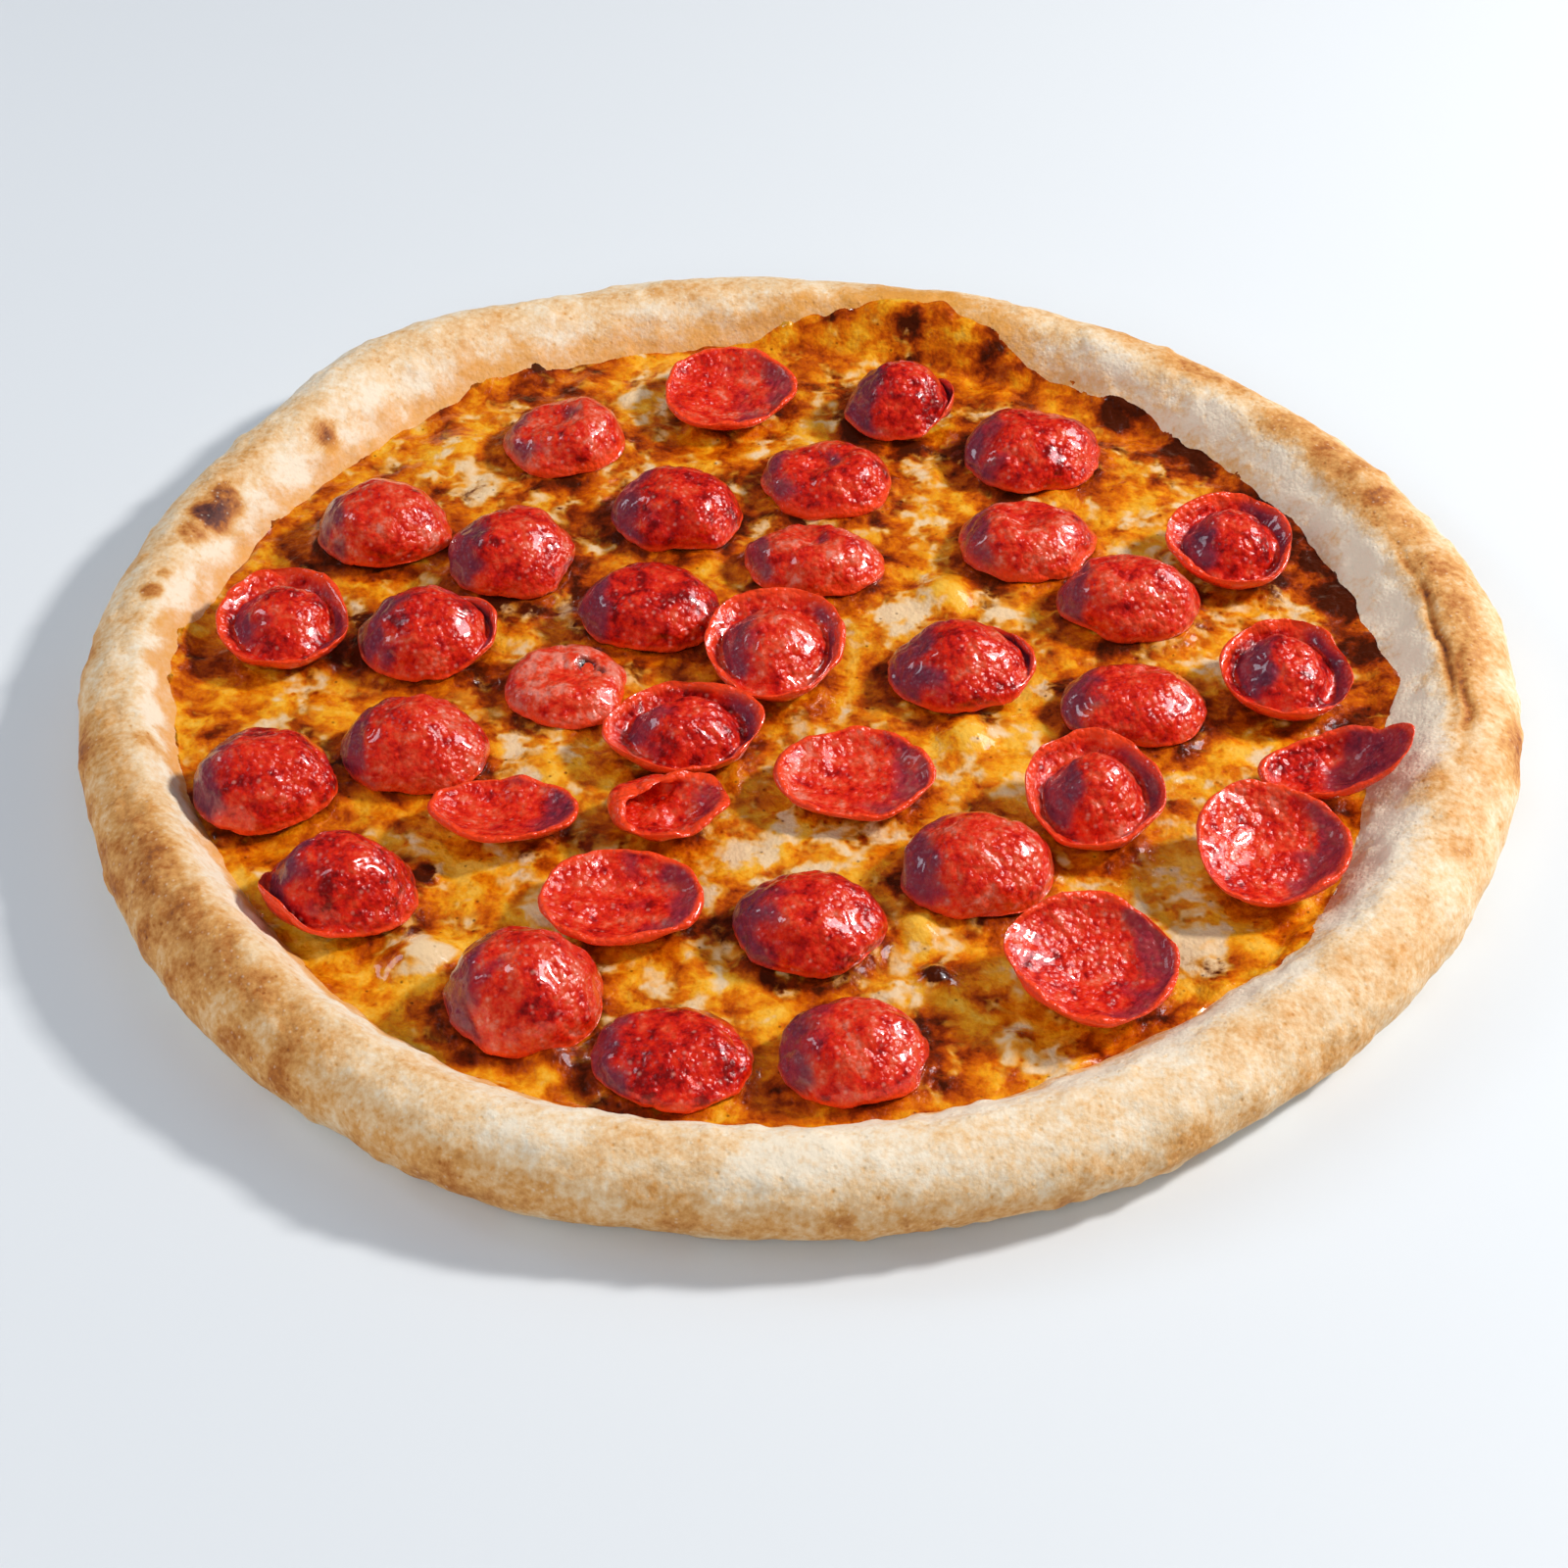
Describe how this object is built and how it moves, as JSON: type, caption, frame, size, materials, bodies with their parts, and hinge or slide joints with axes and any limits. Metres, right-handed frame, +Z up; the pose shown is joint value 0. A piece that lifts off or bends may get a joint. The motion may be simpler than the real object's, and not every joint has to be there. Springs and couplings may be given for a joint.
{
  "type": "pepperoni pizza",
  "caption": "Whole round pizza with a puffed crust rim, baked cheese and curled pepperoni slices, ready to lie on a board or plate.",
  "frame": {"origin": "middle of the flat underside, on the surface that the pizza lies on", "axes": "+Z up, the front of the pizza faces -Y, +X to its right seen from the front"},
  "size_m": [0.3121, 0.3093, 0.0289],
  "materials": {
    "dough": "matte baked crust, pale cream with golden-brown mottling",
    "cheese": "glossy baked cheese, cream strands with orange oil and browned patches",
    "pepperoni": "glossy oily red cured sausage, darker where it is browned"
  },
  "bodies": {
    "root": {"cheese": "cheese", "dough": "dough", "pepperoni_brimmed_02": "pepperoni", "pepperoni_brimmed_13": "pepperoni", "pepperoni_brimmed_17": "pepperoni", "pepperoni_brimmed_31": "pepperoni", "pepperoni_crater_03": "pepperoni", "pepperoni_crater_05": "pepperoni", "pepperoni_crater_09": "pepperoni", "pepperoni_crater_11": "pepperoni", "pepperoni_cup_01": "pepperoni", "pepperoni_cup_23": "pepperoni", "pepperoni_cup_24": "pepperoni", "pepperoni_cup_26": "pepperoni", "pepperoni_cup_29": "pepperoni", "pepperoni_cup_30": "pepperoni", "pepperoni_cup_34": "pepperoni", "pepperoni_dome_04": "pepperoni", "pepperoni_dome_06": "pepperoni", "pepperoni_dome_07": "pepperoni", "pepperoni_dome_08": "pepperoni", "pepperoni_dome_15": "pepperoni", "pepperoni_dome_16": "pepperoni", "pepperoni_dome_21": "pepperoni", "pepperoni_dome_22": "pepperoni", "pepperoni_dome_25": "pepperoni", "pepperoni_dome_32": "pepperoni", "pepperoni_dome_33": "pepperoni", "pepperoni_dome_35": "pepperoni", "pepperoni_dome_36": "pepperoni", "pepperoni_dome_37": "pepperoni", "pepperoni_flat_19": "pepperoni", "pepperoni_folded_28": "pepperoni", "pepperoni_hat_10": "pepperoni", "pepperoni_hat_12": "pepperoni", "pepperoni_hat_14": "pepperoni", "pepperoni_hat_18": "pepperoni", "pepperoni_hat_20": "pepperoni", "pepperoni_hat_27": "pepperoni"}
  },
  "joints": []
}
